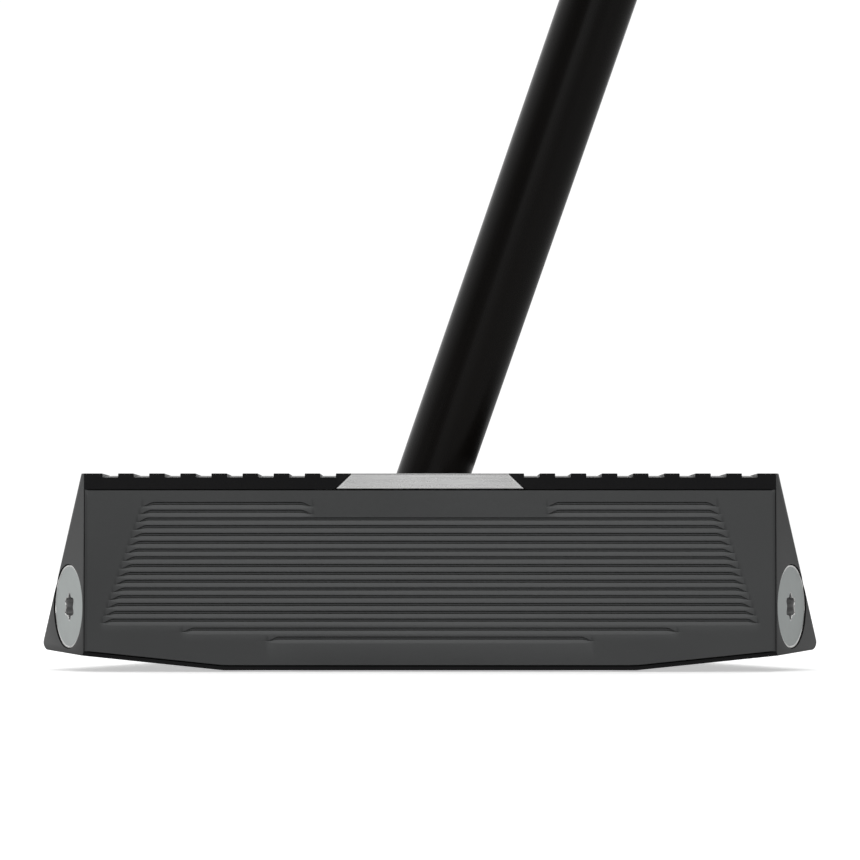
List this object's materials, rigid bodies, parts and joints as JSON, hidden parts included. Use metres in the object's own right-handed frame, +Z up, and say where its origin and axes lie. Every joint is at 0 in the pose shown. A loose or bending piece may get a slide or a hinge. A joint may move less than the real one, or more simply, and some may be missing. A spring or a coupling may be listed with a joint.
{
  "type": "mallet putter",
  "caption": "Right-handed mallet putter with a grooved face insert, a satin riser for the slanted black shaft, and screw-in weights.",
  "frame": {"origin": "on the flat of the sole, at the middle of the face width and half way from face to trailing edge", "axes": "+Z up, face toward -Y, toe toward -X, heel and shaft lean toward +X"},
  "size_m": [0.3459, 0.084, 0.844],
  "materials": {
    "body_black": "black anodised, fine bead-blast satin",
    "insert_grey": "dark grey finish over stainless steel, milled grooves",
    "adhesive": "thin bonding film",
    "riser_satin": "satin silver, fine machining lines",
    "screw_steel": "plain steel screw",
    "weight_steel": "satin grey with a bright turned rim",
    "sight_white": "white paint fill",
    "shaft_black": "gloss black lacquer over carbon fibre",
    "epoxy": "cured adhesive",
    "tape": "double-sided tape",
    "grip_rubber": "matt textured grip",
    "cap_rubber": "matt moulded end cap"
  },
  "bodies": {
    "putter": {"head_body": "body_black", "face_insert": "insert_grey", "face_insert_adhesive": "adhesive", "riser": "riser_satin", "riser_screw_toe": "screw_steel", "riser_screw_heel": "screw_steel", "sight_line": "sight_white", "shaft": "shaft_black", "shaft_epoxy": "epoxy", "grip_tape": "tape", "grip": "grip_rubber", "grip_end_cap": "cap_rubber"},
    "toe_weight": {"toe_weight": "weight_steel"},
    "heel_weight": {"heel_weight": "weight_steel"},
    "sole_weight_1": {"sole_weight_1": "weight_steel"},
    "sole_weight_2": {"sole_weight_2": "weight_steel"},
    "sole_weight_3": {"sole_weight_3": "weight_steel"},
    "sole_weight_4": {"sole_weight_4": "weight_steel"},
    "sole_weight_5": {"sole_weight_5": "weight_steel"},
    "sole_weight_6": {"sole_weight_6": "weight_steel"},
    "sole_weight_7": {"sole_weight_7": "weight_steel"},
    "sole_weight_8": {"sole_weight_8": "weight_steel"}
  },
  "joints": [
    {"name": "toe_weight_out", "type": "slide", "parent": "putter", "child": "toe_weight", "axis": [-0.9135, -0.4067, 0], "range_m": [0, 0.012]},
    {"name": "heel_weight_out", "type": "slide", "parent": "putter", "child": "heel_weight", "axis": [0.9135, -0.4067, 0], "range_m": [0, 0.012]},
    {"name": "sole_weight_1_out", "type": "slide", "parent": "putter", "child": "sole_weight_1", "axis": [0, 0, -1], "range_m": [0, 0.012]},
    {"name": "sole_weight_2_out", "type": "slide", "parent": "putter", "child": "sole_weight_2", "axis": [0, 0, -1], "range_m": [0, 0.012]},
    {"name": "sole_weight_3_out", "type": "slide", "parent": "putter", "child": "sole_weight_3", "axis": [0, 0, -1], "range_m": [0, 0.012]},
    {"name": "sole_weight_4_out", "type": "slide", "parent": "putter", "child": "sole_weight_4", "axis": [0, 0, -1], "range_m": [0, 0.012]},
    {"name": "sole_weight_5_out", "type": "slide", "parent": "putter", "child": "sole_weight_5", "axis": [0, 0, -1], "range_m": [0, 0.012]},
    {"name": "sole_weight_6_out", "type": "slide", "parent": "putter", "child": "sole_weight_6", "axis": [0, 0, -1], "range_m": [0, 0.012]},
    {"name": "sole_weight_7_out", "type": "slide", "parent": "putter", "child": "sole_weight_7", "axis": [0, 0, -1], "range_m": [0, 0.012]},
    {"name": "sole_weight_8_out", "type": "slide", "parent": "putter", "child": "sole_weight_8", "axis": [0, 0, -1], "range_m": [0, 0.012]}
  ]
}
